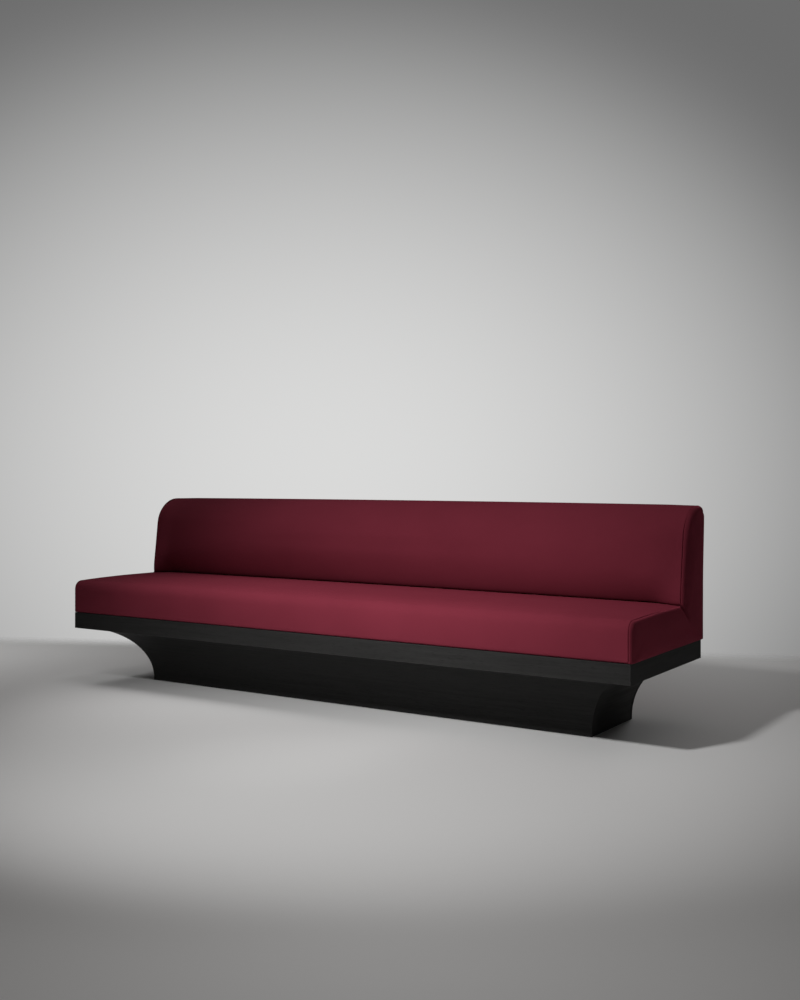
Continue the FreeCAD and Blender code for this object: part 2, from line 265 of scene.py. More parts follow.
rays = tree.nodes.new("ShaderNodeLightPath").outputs
seen = sums(tree, "MAXIMUM", rays["Is Camera Ray"], rays["Is Glossy Ray"])
seen = sums(tree, "MAXIMUM", seen, rays["Is Transmission Ray"])
both = blended(tree, seen, fill.outputs[0], shown.outputs[0])
tree.links.new(both, tree.nodes["World Output"].inputs["Surface"])
print("glow within", glow_angle, "degrees")

# %% [markdown]
# ## The lamps
# One small soft box, the key, stands high in front of the sofa. A grid over it keeps its light together,
# so the middle of the length is brightest and the ends fall off. In Blender that grid is the lamp's
# spread. Three weak boxes hang and shine straight down, on the floor at both sides and on the seat. One
# more behind keeps the rear readable when the camera walks round.

# %% Hang the soft boxes
hanging_height = 2.6


def soft_box(name, place, target, width, power, spread):
    data = bpy.data.lights.new(name, "AREA")
    data.shape = "SQUARE"
    data.size = width
    data.energy = power
    data.spread = math.radians(spread)
    lamp = bpy.data.objects.new(name, data)
    lamp.location = place
    lamp.rotation_euler = (Vector(target) - Vector(place)).to_track_quat("-Z", "Y").to_euler()
    scene.collection.objects.link(lamp)


def hanging_box(name, x, y, width, power, spread):
    soft_box(name, (x, y, hanging_height), (x, y, 0.0), width, power, spread)


soft_box("key_box", (0.21, -2.66, 2.56), (0.48, -0.50, 0.00), width=0.25, power=13.9, spread=61.0)
soft_box("rear_box", (0.2, 4.2, 0.75), (0.0, 0.35, 0.50), width=1.2, power=7.0, spread=80.0)
hanging_box("right_box", 1.44, -2.0, width=0.5, power=1.7, spread=60.0)
hanging_box("left_box", -2.6, -0.2, width=1.2, power=6.5, spread=85.0)
hanging_box("top_box", -0.50, -0.30, width=0.8, power=1.15, spread=40.0)

# %% [markdown]
# ## Shared effects for cloth
# Several finishes need the same ingredients, so each is a node group, built once. **Weave** lays warp and
# weft threads on a flat map of the cloth: the product of two sine waves tells which thread lies on top.
# **Mottle** is the cloudy change of shade of any natural material. Pictures of cloth could do the same,
# but a pattern made of nodes stays sharp close up.

# %% Weave and mottle
vector_socket = "NodeSocketVector"
float_socket = "NodeSocketFloat"


def new_group(name, wanted, given):
    group = bpy.data.node_groups.new(name, "ShaderNodeTree")
    for socket, kind in wanted:
        group.interface.new_socket(name=socket, in_out="INPUT", socket_type=kind)
    for socket in given:
        group.interface.new_socket(name=socket, in_out="OUTPUT", socket_type=float_socket)
    entry = group.nodes.new("NodeGroupInput")
    leave = group.nodes.new("NodeGroupOutput")
    return group, entry.outputs, leave.inputs


def noise(tree, place, scale, detail, roughness=0.5):
    node = tree.nodes.new("ShaderNodeTexNoise")
    feed(tree, node.inputs["Vector"], place)
    feed(tree, node.inputs["Scale"], scale)
    node.inputs["Detail"].default_value = detail
    node.inputs["Roughness"].default_value = roughness
    return node.outputs["Fac"]


weave, wanted, given = new_group("weave", [("Place", vector_socket), ("Threads", float_socket)],
                                 ["Height", "Warp"])
flat = apart(weave, wanted["Place"])
turns = sums(weave, "MULTIPLY", wanted["Threads"], math.pi)
across = sums(weave, "SINE", sums(weave, "MULTIPLY", flat["X"], turns))
along = sums(weave, "SINE", sums(weave, "MULTIPLY", flat["Y"], turns))
crossing = sums(weave, "MULTIPLY", across, along)
weave.links.new(sums(weave, "ABSOLUTE", crossing), given["Height"])
weave.links.new(sums(weave, "MULTIPLY_ADD", crossing, 0.5, 0.5), given["Warp"])

mottle, wanted, given = new_group("mottle", [("Place", vector_socket), ("Scale", float_socket)],
                                  ["Cloud", "Fleck"])
mottle.links.new(noise(mottle, wanted["Place"], wanted["Scale"], 3.0), given["Cloud"])
finer = sums(mottle, "MULTIPLY", wanted["Scale"], 18.0)
mottle.links.new(noise(mottle, wanted["Place"], finer, 4.0, 0.6), given["Fleck"])
print("groups for cloth:", weave.name, mottle.name)

# %% [markdown]
# ## Shared effects for wood
# **Grain** is noise drawn out along a board, with fine dark pores. **Arris** reads a mark on the softened
# edges of a board, where handling rubs the finish. Year rings cut through a model trunk would be truer to
# a tree, but on stained wood only fine streaks are left to see.

# %% Grain and arris
grain, wanted, given = new_group("grain", [("Place", vector_socket), ("Fineness", float_socket)],
                                 ["Streak", "Pore"])
drawn_out = stretched(grain, wanted["Place"], (0.035, 1.0, 1.0))
grain.links.new(noise(grain, drawn_out, wanted["Fineness"], 6.0, 0.62), given["Streak"])
pore_place = stretched(grain, wanted["Place"], (0.05, 1.0, 1.0))
pores = noise(grain, pore_place, sums(grain, "MULTIPLY", wanted["Fineness"], 7.0), 2.0)
grain.links.new(remap(grain, pores, 0.58, 0.7, 0.0, 1.0), given["Pore"])

arris, wanted, given = new_group("arris", [("Place", vector_socket)], ["Wear"])
edge = arris.nodes.new("ShaderNodeAttribute")
edge.attribute_name = "arris"
rubbed = remap(arris, noise(arris, wanted["Place"], 28.0, 4.0), 0.35, 0.65, 0.25, 1.0)
arris.links.new(sums(arris, "MULTIPLY", edge.outputs["Fac"], rubbed), given["Wear"])
print("groups for wood:", grain.name, arris.name)

# %% [markdown]
# ## The wine-red wool
# The cloth is a fine, tight wool. Close up it has threads and a little fuzz; from a step back it is
# smooth, with a soft bloom where it turns away from you. The bloom could be painted in, but the shader
# has its own sheen for it. Colour, roughness and bump come from weave and mottle, and from a wider noise
# for the slight pulls of stretched cloth. The weave follows a UV map in metres, which each padded piece
# gets once its shape is final.

# %% Mix the wool
wool_threads = 900.0
wool_deep = rgba(0.165, 0.0215, 0.036)
wool_light = rgba(0.205, 0.0280, 0.0465)
wool_fleck = rgba(0.25, 0.038, 0.062)
wool_bloom = rgba(0.80, 0.12, 0.20)


def group_node(tree, group, **values):
    node = tree.nodes.new("ShaderNodeGroup")
    node.node_tree = group
    for socket, value in values.items():
        feed(tree, node.inputs[socket], value)
    return node.outputs


def roughened(tree, pattern, smooth, rough):
    """A roughness between two values, by a noise that mostly lies between 0.3 and 0.7."""
    return remap(tree, pattern, 0.3, 0.7, smooth, rough)


def bumped(tree, height, distance, strength):
    node = tree.nodes.new("ShaderNodeBump")
    node.inputs["Distance"].default_value = distance
    node.inputs["Strength"].default_value = strength
    feed(tree, node.inputs["Height"], height)
    return node.outputs["Normal"]


wine_cloth, tree, wool = new_finish("wine_cloth")
flat_map = tree.nodes.new("ShaderNodeUVMap")
flat_map.uv_map = "cloth_map"
threads = group_node(tree, weave, Place=flat_map.outputs["UV"], Threads=wool_threads)
clouds = group_node(tree, mottle, Place=object_place(tree), Scale=5.0)
body_shade = between(tree, clouds["Cloud"], wool_deep, wool_light)
melange = sums(tree, "MULTIPLY", clouds["Fleck"], threads["Warp"])
wool_shade = between(tree, sums(tree, "MULTIPLY", melange, 0.5), body_shade, wool_fleck)
feed(tree, wool["Base Color"], wool_shade)
feed(tree, wool["Roughness"], roughened(tree, clouds["Fleck"], 0.78, 0.92))
pulls = noise(tree, stretched(tree, object_place(tree), (0.45, 1.0, 1.0)), 45.0, 3.0)
nap = sums(tree, "ADD", threads["Height"], sums(tree, "MULTIPLY", clouds["Fleck"], 0.6))
relief = sums(tree, "ADD", nap, sums(tree, "MULTIPLY", pulls, 3.0))
feed(tree, wool["Normal"], bumped(tree, relief, distance=0.0003, strength=0.5))
wool["Diffuse Roughness"].default_value = 0.3
wool["Specular IOR Level"].default_value = 0.05
wool["Sheen Weight"].default_value = 0.6
wool["Sheen Roughness"].default_value = 0.30
wool["Sheen Tint"].default_value = wool_bloom
print("wool:", wool_threads, "threads a metre")

# %% [markdown]
# ## The ebonised wood
# The plinth and the band are ebonised: stained black and left almost matt, with the grain still faintly
# there and a greyer line where an edge is rubbed. Plain black would be quicker, but the boards would look
# cast in one piece. Grain runs along a board, so the wood is made once for every direction that a board
# can run in.

# %% Stain the wood
stain_deep = rgba(0.016, 0.0157, 0.0153)
stain_thin = rgba(0.038, 0.0373, 0.0366)
stain_pore = rgba(0.005, 0.005, 0.005)
stain_rubbed = rgba(0.044, 0.042, 0.041)
quarter_turn = math.radians(90.0)
run_turns = {"x": (0.0, 0.0, 0.0), "y": (0.0, 0.0, quarter_turn), "z": (0.0, quarter_turn, 0.0)}


def along_board(tree, run):
    """Object coordinates turned so that the first axis runs along the board."""
    node = tree.nodes.new("ShaderNodeMapping")
    node.inputs["Rotation"].default_value = run_turns[run]
    tree.links.new(object_place(tree), node.inputs["Vector"])
    return node.outputs["Vector"]


def ebonised(run):
    made, tree, wood = new_finish("ebonised_wood_" + run)
    place = along_board(tree, run)
    figure = group_node(tree, grain, Place=place, Fineness=90.0)
    wear = group_node(tree, arris, Place=place)["Wear"]
    stain = between(tree, figure["Streak"], stain_deep, stain_thin)
    stain = between(tree, sums(tree, "MULTIPLY", figure["Pore"], 0.5), stain, stain_pore)
    feed(tree, wood["Base Color"], between(tree, wear, stain, stain_rubbed))
    feed(tree, wood["Roughness"], roughened(tree, figure["Streak"], 0.45, 0.58))
    relief = sums(tree, "SUBTRACT", figure["Streak"], figure["Pore"])
    feed(tree, wood["Normal"], bumped(tree, relief, distance=0.0001, strength=0.2))
    wood["Specular IOR Level"].default_value = 0.05
    return made


ebony = {run: ebonised(run) for run in "xyz"}
print("ebonised wood:", [finish.name for finish in ebony.values()])

# %% [markdown]
# ## Boards that run round the base
# The band and the coved skins are boards of one section that run round the base and meet at mitred
# corners. They could be cut out of one block. Here the section is drawn once in the plane across the
# board, drawn out along its length, and cut at the corners by a plane at 45 degrees, which is how the
# joiner does it with a saw. Last, each sharp edge is bevelled by a millimetre, because a real arris is
# never razor sharp, and the bevel is what catches the light.

# %% Helpers for boards
bevel_from = 35.0
smooth_below = 30.0


def draw_out(mesh, distance):
    """Draws every face out along X, and closes the body."""
    drawn = bmesh.ops.extrude_face_region(mesh, geom=mesh.faces[:])
    moved = [v for v in drawn["geom"] if isinstance(v, bmesh.types.BMVert)]
    bmesh.ops.translate(mesh, verts=moved, vec=(distance, 0.0, 0.0))
    bmesh.ops.recalc_face_normals(mesh, faces=mesh.faces[:])


def saw(mesh, point, outward):
    """Cuts off all that lies on the outward side of a plane, and closes the cut."""
    whole = mesh.verts[:] + mesh.edges[:] + mesh.faces[:]
    bmesh.ops.bisect_plane(mesh, geom=whole, plane_co=point, plane_no=outward, clear_outer=True)
    rim = [e for e in mesh.edges if e.is_boundary]
    bmesh.ops.holes_fill(mesh, edges=rim, sides=0)
    bmesh.ops.recalc_face_normals(mesh, faces=mesh.faces[:])


def mitre(mesh, length, end):
    """Saws the board at 45 degrees at its far (+1) or near (-1) end."""
    saw(mesh, (end * length / 2.0, 0.0, 0.0), (end, 1.0, 0.0))


def soften(mesh, width):
    """Bevels each sharp edge, and marks the bevels in the attribute arris."""
    mark = mesh.faces.layers.float.new("arris")
    sharp = [e for e in mesh.edges if e.is_manifold and e.calc_face_angle() > math.radians(bevel_from)]
    rounded = bmesh.ops.bevel(mesh, geom=sharp, offset=width, offset_type="OFFSET", affect="EDGES",
                              segments=2, profile=0.5, material=-1, clamp_overlap=True)
    for face in rounded["faces"]:
        face[mark] = 1.0


def place_piece(name, mesh):
    """Makes the object of a finished mesh, smooth except at its sharp edges."""
    for face in mesh.faces:
        face.smooth = True
    for line in mesh.edges:
        line.smooth = line.is_manifold and line.calc_face_angle() < math.radians(smooth_below)
    open_edges = sum(1 for line in mesh.edges if not line.is_manifold)
    data = bpy.data.meshes.new(name)
    mesh.to_mesh(data)
    mesh.free()
    piece = bpy.data.objects.new(name, data)
    scene.collection.objects.link(piece)
    print(name, len(data.polygons), "faces,", open_edges, "open edges")
    return piece


def dress(piece, finish, slot, *nodes):
    piece.data.materials.clear()
    piece.data.materials.append(finish)
    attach(piece, "root")
    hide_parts(*nodes)


print("boards: bevels from", bevel_from, "degrees, smooth below", smooth_below)

# %% [markdown]
# ## The straight band
# Four boards stand on edge round the base, under the cloth. They could be modelled where they stand, each
# in its own way. Here each is drawn as if it were the front one, with its face on the line Y = 0, then
# turned and moved to its side, so one function serves all. The rebate at the lower inner edge takes the
# top of the coved skin, which is why the curve seems to start a little behind the band.

# %% Build the four band boards
band_low, band_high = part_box("band_front")
cove_low, cove_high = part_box("plinth_front_cove")
half_length = band_high.x
half_depth = -band_low.y
band_thickness = band_high.y - band_low.y
quirk = cove_low.y - band_low.y
arris_width = 0.0012


def standing_at(x, y, turn):
    return Matrix.Translation((x, y, 0.0)) @ Matrix.Rotation(math.radians(turn), 4, "Z")


sides = {
    "front": (2.0 * half_length, standing_at(0.0, -half_depth, 0.0), "x"),
    "right": (2.0 * half_depth, standing_at(half_length, 0.0, 90.0), "y"),
    "rear": (2.0 * half_length, standing_at(0.0, half_depth, 180.0), "x"),
    "left": (2.0 * half_depth, standing_at(-half_length, 0.0, -90.0), "y"),
}


def band_board(side):
    length, placing, run = sides[side]
    section = [(0.0, band_low.z), (0.0, band_high.z), (band_thickness, band_high.z)]
    if side == "rear":
        section += [(band_thickness, band_low.z)]
    else:
        section += [(band_thickness, cove_high.z), (quirk, cove_high.z), (quirk, band_low.z)]
    mesh = bmesh.new()
    mesh.faces.new([mesh.verts.new((-length / 2.0, y, z)) for y, z in section])
    draw_out(mesh, length)
    mitre(mesh, length, 1)
    mitre(mesh, length, -1)
    soften(mesh, arris_width)
    bmesh.ops.transform(mesh, matrix=placing, verts=mesh.verts[:])
    piece = place_piece("band_board_" + side, mesh)
    dress(piece, ebony[run], "ebonised_wood", "band_" + side)


for side in sides:
    band_board(side)

# %% [markdown]
# ## The coved skins
# Under the band, the plinth sweeps in and down in a quarter circle. A skin of thin bent wood makes the
# curve. It could be a bent sheet with a thickness added, but a spin gives a true circle: the section is
# one short edge, spun a quarter turn about the middle of the circle, and the foot is that edge drawn down
# to the floor. At the front corners the skins are mitred, so the two curves meet on one clean line.

# %% Build the three coved skins
side_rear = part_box("plinth_right_cove")[1].y
cove_foot = 0.010
cove_steps = 36
skin_arris = arris_width * 0.7
weld_distance = 0.00001


def coved_skin(side):
    length, placing, run = sides[side]
    start = -length / 2.0
    mesh = bmesh.new()
    lower = mesh.verts.new((start, quirk, band_low.z))
    upper = mesh.verts.new((start, quirk, cove_high.z))
    lip = mesh.edges.new((lower, upper))
    swept = bmesh.ops.spin(mesh, geom=[lower, upper, lip], cent=(start, quirk, cove_foot),
                           axis=(1.0, 0.0, 0.0), angle=-math.pi / 2.0, steps=cove_steps)
    toe = [e for e in swept["geom_last"] if isinstance(e, bmesh.types.BMEdge)]
    drop = bmesh.ops.extrude_edge_only(mesh, edges=toe)
    dropped = [v for v in drop["geom"] if isinstance(v, bmesh.types.BMVert)]
    bmesh.ops.translate(mesh, verts=dropped, vec=(0.0, 0.0, -cove_foot))
    bmesh.ops.remove_doubles(mesh, verts=mesh.verts[:], dist=weld_distance)
    draw_out(mesh, length)
    if side != "left":
        mitre(mesh, length, -1)
    if side != "right":
        mitre(mesh, length, 1)
    if side == "right":
        saw(mesh, (side_rear, 0.0, 0.0), (1.0, 0.0, 0.0))
    if side == "left":
        saw(mesh, (-side_rear, 0.0, 0.0), (-1.0, 0.0, 0.0))
    soften(mesh, skin_arris)
    bmesh.ops.transform(mesh, matrix=placing, verts=mesh.verts[:])
    piece = place_piece("coved_skin_" + side, mesh)
    dress(piece, ebony[run], "ebonised_wood", "plinth_" + side + "_cove")


for side in ("front", "right", "left"):
    coved_skin(side)

# %% [markdown]
# ## The body of a pad
# The seat and the back are foam under tight cloth. Across, each is a section with rounded corners, and
# along the length it hardly changes. A stretched cube could be sculpted to that, but a section can be
# measured. So a pad is drawn out from its section like a board, its two end rims are rounded, where the
# cloth turns in to the seam, and its faces are cut up finely, because a cloth simulation needs many small
# faces.

# %% Helpers for the body of a pad
pad_half = 1.283
cloth_step = 0.015
seam_round = 0.002
near = 0.001


def rounded_face(mesh, x, outline, segments=None):
    """A flat face at x from (y, z, radius) corners. The arc of a corner is about 1.6 radii long."""
    corners = [mesh.verts.new((x, y, z)) for y, z, radius in outline]
    mesh.faces.new(corners)
    for corner, (y, z, radius) in zip(corners, outline):
        if radius > 0.0:
            before, after = [e.other_vert(corner).co - corner.co for e in corner.link_edges]
            reach = radius / math.tan(before.angle(after) / 2.0)
            steps = segments or max(3, round(radius * 1.6 / cloth_step))
            bmesh.ops.bevel(mesh, geom=[corner], offset=reach, offset_type="OFFSET", affect="VERTICES",
                            segments=steps, profile=0.5, material=-1, clamp_overlap=True)


def padded_body(section):
    """A body between the end seams, drawn from a section of (y, z, radius) corners."""
    mesh = bmesh.new()
    rounded_face(mesh, -pad_half, section)
    draw_out(mesh, 2.0 * pad_half)
    for face in mesh.faces[:]:
        rims = [e for e in face.edges if abs(e.verts[0].co.x - e.verts[1].co.x) < pad_half]
        cuts = round(rims[0].calc_length() / cloth_step) - 1
        if len(rims) == 2 and cuts > 0:
            bmesh.ops.subdivide_edges(mesh, edges=rims, cuts=cuts, use_grid_fill=True)
    seams = [e for e in mesh.edges if abs(e.verts[0].co.x + e.verts[1].co.x) > 2.0 * pad_half - near]
    bmesh.ops.bevel(mesh, geom=seams, offset=seam_round, offset_type="OFFSET", affect="EDGES",
                    segments=2, profile=0.5, material=-1, clamp_overlap=True)
    runs = [e for e in mesh.edges if abs(e.verts[0].co.x - e.verts[1].co.x) > pad_half]
    bmesh.ops.subdivide_edges(mesh, edges=runs, cuts=round(2.0 * pad_half / cloth_step), use_grid_fill=True)
    return mesh


def within_seams(co):
    return abs(co.x) < pad_half - 1.1 * seam_round


print("pads: seams at", pad_half, "cut up every", cloth_step)

# %% [markdown]
# ## Filling a pad
# A pad could be given its softness by moving points by hand, but cloth that is stretched over foam finds
# its own shape. So a cloth simulation fills each pad: the hidden faces and the seams are held, pressure
# pushes the rest out, and after a few frames the result is kept, with each move capped. Then the pad gets
# its flat map of the cloth in metres and one step of subdivision.

# %% Helpers for filling a pad
fill_frames = 16
pad_fill = 0.9


def puff(piece, free, pressure, cap):
    """Fills the piece by cloth simulation. Points for which free() is false are held."""
    data = piece.data
    held = piece.vertex_groups.new(name="held")
    held.add([v.index for v in data.vertices if not free(v.co)], 1.0, "REPLACE")
    rest = [v.co.copy() for v in data.vertices]
    cloth = piece.modifiers.new("puff", "CLOTH")
    cloth.settings.quality = 5
    cloth.settings.mass = 0.3
    cloth.settings.tension_stiffness = 60.0
    cloth.settings.compression_stiffness = 60.0
    cloth.settings.shear_stiffness = 30.0
    cloth.settings.bending_stiffness = 2.0
    cloth.settings.use_pressure = True
    cloth.settings.uniform_pressure_force = pressure
    cloth.settings.vertex_group_mass = "held"
    cloth.settings.effector_weights.gravity = 0.0
    cloth.collision_settings.use_collision = False
    cloth.point_cache.frame_start = 1
    cloth.point_cache.frame_end = fill_frames
    for frame_number in range(1, fill_frames + 1):
        scene.frame_set(frame_number)
    filled = piece.evaluated_get(bpy.context.evaluated_depsgraph_get()).data
    largest = 0.0
    for point, start, end in zip(data.vertices, rest, [v.co.copy() for v in filled.vertices]):
        move = end - start
        largest = max(largest, move.length)
        point.co = start + move * min(1.0, cap / max(move.length, 0.000001))
    piece.modifiers.remove(cloth)
    piece.vertex_groups.clear()
    scene.frame_set(1)
    print(piece.name, "puffed by up to", round(largest * 1000.0, 1), "mm, kept to", cap * 1000.0)


def finish_pad(piece, fill, *nodes):
    """Lays the flat map of the cloth on the pad in metres, and smooths and dresses it."""
    data = piece.data
    data.update()
    flat = data.uv_layers.new(name="cloth_map")
    for face in data.polygons:
        normal = [abs(v) for v in face.normal]
        across, along = [(1, 2), (0, 2), (0, 1)][normal.index(max(normal))]
        for corner in face.loop_indices:
            place = data.vertices[data.loops[corner].vertex_index].co
            flat.data[corner].uv = (place[across], place[along])
        face.use_smooth = True
    finer = piece.modifiers.new("smooth", "SUBSURF")
    finer.levels = 1
    finer.render_levels = 1
    dress(piece, wine_cloth, "wine_cloth", *nodes)


print("pads are filled over", fill_frames, "frames")

# %% [markdown]
# ## The shape of the seat
# The top of the seat is crowned from front to back, and it drops towards the end seams, mostly at the
# rear. That could be sculpted. Small functions are used instead, because the outline of the end panels
# has to follow the same seams, and can then ask the same functions.

# %% Measures of the seat
seat_low, seat_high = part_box("seat_cover")
puff_room = 0.003
seat_front = seat_low.y + puff_room
seat_foot = seat_low.z + 0.0005
seat_edge = 0.4465
seat_crown = 0.0095
seat_middle = 0.02
seat_reach = seat_middle - seat_front
end_sag = 0.003
end_dip = 0.004
draw_length = 0.12
front_drop_share = 0.15


def ease(value, low, high):
    """0 below low, 1 above high, and a smooth step between."""
    share = min(1.0, max(0.0, (value - low) / (high - low)))
    return share * share * (3.0 - 2.0 * share)


def seat_rise(y):
    """How far the crown lifts the seat at this depth."""
    return seat_crown * max(0.0, 1.0 - ((y - seat_middle) / seat_reach) ** 2)


def end_share(x):
    """0 along the length, rising to 1 over the last stretch before an end seam."""
    return ease(abs(x), pad_half - draw_length, pad_half)


def end_drop(x, y):
    """How far the seat drops to its ends: a long sag and a short dip at the seam, mostly at the rear."""
    drop = end_sag * (abs(x) / pad_half) ** 2 + end_dip * end_share(x)
    return drop * (front_drop_share + (1.0 - front_drop_share) * ease(y, seat_front, seat_high.y))


print("seat: crown", seat_crown, "drop at the rear ends", round(end_drop(pad_half, seat_high.y), 4))

# %% [markdown]
# ## The seat
# The seat is one long pad that rolls over the front rail down to the band. Its front has a slight belly
# between its two edges. The simulation holds the underside, the tuck under the back and the lower front
# edge, where the cloth is tacked to the rail, so only what a hand can touch is puffed.

# %% Build the seat
edge_radius = 0.034
seat_foot_radius = 0.010
seat_under = 0.3825
seat_wall = 0.021
seat_rear = seat_high.y + 0.018
crown_start = seat_under + 0.012
front_belly = 0.006
front_middle = 0.375
front_reach = 0.066
front_depth = 0.03
front_skin = 0.004
tack_height = 0.02
roll_height = 0.04
tuck_width = 0.012

seat_mesh = padded_body([
    (seat_front, seat_foot, seat_foot_radius),
    (seat_front, seat_edge, edge_radius),
    (seat_rear, seat_edge, 0.0),
    (seat_rear, seat_under, 0.0),
    (seat_front + seat_wall, seat_under, 0.0),
    (seat_front + seat_wall, seat_foot, 0.0),
])
for point in seat_mesh.verts:
    upper = ease(point.co.z, crown_start, seat_edge)
    at_front = 1.0 - ease(point.co.y, seat_front, seat_front + front_depth)
    belly = front_belly * max(0.0, 1.0 - ((point.co.z - front_middle) / front_reach) ** 2)
    point.co.y -= belly * (1.0 - end_share(point.co.x)) * at_front
    point.co.z += upper * (seat_rise(point.co.y) - end_drop(point.co.x, point.co.y))
seat_pad = place_piece("seat_pad", seat_mesh)


def seat_is_free(co):
    front = co.y < seat_front + front_skin and co.z > seat_low.z + tack_height
    top = co.z > seat_edge - roll_height and co.y < seat_high.y - tuck_width
    return within_seams(co) and (front or top)


puff(seat_pad, seat_is_free, pressure=0.1, cap=0.006)
finish_pad(seat_pad, pad_fill, "seat_cover", "seat_foam")

# %% [markdown]
# ## The shape of the back
# The back leans a few degrees. Its front swells to a belly low down and tucks in below that, where it
# meets the seat. At the end seams the cloth is straighter. The crest of stretched cloth is never quite
# level: this one dips to both ends, a little more to the left. As with the seat, each of these is a small
# function of the place.

# %% Measures of the back
back_low, back_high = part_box("back_cover")
back_lean = math.radians(7.4)
lean = math.tan(back_lean)
back_foot = back_low.y + puff_room
back_top = back_high.z + 0.0015
back_rear = back_high.y - puff_room * 0.6
foot_level = 0.4560
back_belly = 0.030
belly_level = 0.58
foot_tuck = 0.033
tuck_height = 0.12
end_swell = 0.007
end_tuck = 0.006
end_round = 0.05
top_rise = 0.0019
top_slant = 0.0034
top_dip = 0.0019


def belly_forward(z):
    """How far the middle of the back stands forward of the straight face at this height."""
    reach = (foot_level if z < belly_level else back_top) - belly_level
    belly = back_belly * max(0.0, 1.0 - ((z - belly_level) / reach) ** 2)
    tuck = foot_tuck * max(0.0, 1.0 - (z - foot_level) / tuck_height) ** 2
    return belly - tuck


def end_forward(rise):
    """How far the seam at the ends stands forward of the straight face, at a height above the foot."""
    return end_swell - end_tuck * max(0.0, 1.0 - rise / end_round) ** 2


def top_height(x):
    """How far the crest of the back lies above its level line: it dips to the ends, more to the left."""
    return top_rise + top_slant * x - top_dip * x ** 2


print("back: crest at the ends", [round(top_height(x), 4) for x in (-pad_half, pad_half)])

# %% [markdown]
# ## The back
# The back rolls over its top in a wide curve and turns down behind in a small one. It could be a solid
# block, but the frame stands inside it. So it is a thick shell of foam, and its section has an outer and
# an inner line. The simulation holds the inner line, the foot and the hem behind.

# %% Build the back
back_wall = 0.044
rear_wall = 0.018
rear_join = 0.7625
inner_top = back_top - back_wall
inner_foot = back_foot + back_wall / math.cos(back_lean)
foot_radius = 0.012
top_radius = 0.126
rear_radius = 0.028
hem_radius = 0.005
inner_radius = 0.08
top_draw = 0.0015
drawn_from = back_top - 0.1
crest_margin = 0.01
drop_height = 0.2
back_skin = 0.016
top_skin = 0.015

back_mesh = padded_body([
    (back_foot, foot_level, foot_radius),
    (back_foot + (back_top - foot_level) * lean, back_top, top_radius),
    (back_rear, back_top, rear_radius),
    (back_rear, rear_join, hem_radius),
    (back_rear - rear_wall, rear_join, 0.0),
    (back_rear - rear_wall, inner_top, 0.0),
    (inner_foot + (inner_top - foot_level) * lean, inner_top, inner_radius),
    (inner_foot, foot_level, 0.0),
])
for point in back_mesh.verts:
    share = end_share(point.co.x)
    rise = point.co.z - foot_level
    depth = max(0.0, point.co.y - back_foot - rise * lean)
    outer = max(0.0, 1.0 - depth / back_wall)
    upward = ease(point.co.z, foot_level, drawn_from)
    crest = ease(point.co.z, rear_join - crest_margin, back_top - crest_margin)
    low = 1.0 - ease(rise, 0.0, drop_height)
    point.co.y -= outer * (belly_forward(point.co.z) * (1.0 - share) + end_forward(rise) * share)
    point.co.z += crest * top_height(point.co.x) - share * top_draw * upward
    point.co.z -= end_drop(point.co.x, seat_high.y) * low
back_pad = place_piece("back_pad", back_mesh)


def back_is_free(co):
    front = co.y < back_foot + back_skin + (co.z - foot_level) * lean and co.z > foot_level + foot_radius
    top = co.z > inner_top + top_skin
    return within_seams(co) and (front or top)


puff(back_pad, back_is_free, pressure=0.5, cap=0.006)
finish_pad(back_pad, pad_fill, "back_cover", "back_foam")

# %% [markdown]
# ## The rear panel
# Behind, a thin padded panel closes the frame from the band up to the roll of the back. A flat board would
# look hard next to the pads. So it is the same kind of body, only flat, and its face is puffed a little
# between the hems.

# %% Build the rear panel
rear_low, rear_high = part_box("rear_cover")
panel_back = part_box("rear_pad")[0].y
panel_face = rear_high.y - puff_room
seam_gap = 0.001
panel_top = rear_join - seam_gap
hem_width = 0.012

rear_mesh = padded_body([
    (panel_face, seat_foot, hem_radius),
    (panel_face, panel_top, hem_radius),
    (panel_back, panel_top, 0.0),
    (panel_back, seat_foot, 0.0),
])
rear_panel = place_piece("rear_panel", rear_mesh)


def rear_is_free(co):
    between_hems = rear_low.z + hem_width < co.z < rear_join - hem_width
    return within_seams(co) and co.y > panel_face - near and between_hems


puff(rear_panel, rear_is_free, pressure=0.5, cap=0.004)
finish_pad(rear_panel, pad_fill, "rear_cover", "rear_pad")

# %% [markdown]
# ## The outline of an end panel
# Each end is closed by one L-shaped piece of padded cloth. Its outline follows the end seams of the seat
# and the back. It could be traced by eye, but the functions of seat and back give it exactly. In the inner
# corner of the L, where seat and back meet, the cloth is pulled, and a short crease runs down and back
# from there.

# %% Outline and crease
panel_inner = pad_half + seam_gap
foot_end = foot_level - end_drop(pad_half, seat_high.y)
foot_steps = 5
foot_rises = [end_round * i / foot_steps for i in range(foot_steps + 1)]
crown_place = seat_middle - 0.1
crown_radius = 2.0
crease_line = [Vector((0.134, 0.450)), Vector((0.158, 0.426)), Vector((0.190, 0.398))]
crease_width = 0.012
crease_fade = 0.75


def seat_end(y):
    """The height of the seat's end seam at this depth."""
    return seat_edge + seat_rise(y) - end_drop(pad_half, y)


def back_end(rise):
    """The depth of the back's end seam at a height above its foot."""
    return back_foot + rise * lean - end_forward(rise)


def panel_outline(top_end):
    """The L as (y, z, radius) corners, from the foot of its front round to the foot of its rear."""
    return [
        (seat_front, seat_foot, 0.0),
        (seat_front, seat_end(seat_front), edge_radius),
        (crown_place, seat_end(crown_place), crown_radius),
        *[(back_end(rise), foot_end + rise, 0.0) for rise in foot_rises],
        (back_end(top_end - foot_end), top_end, top_radius),
        (back_rear, top_end, rear_radius),
        (back_rear, seat_foot, 0.0),
    ]


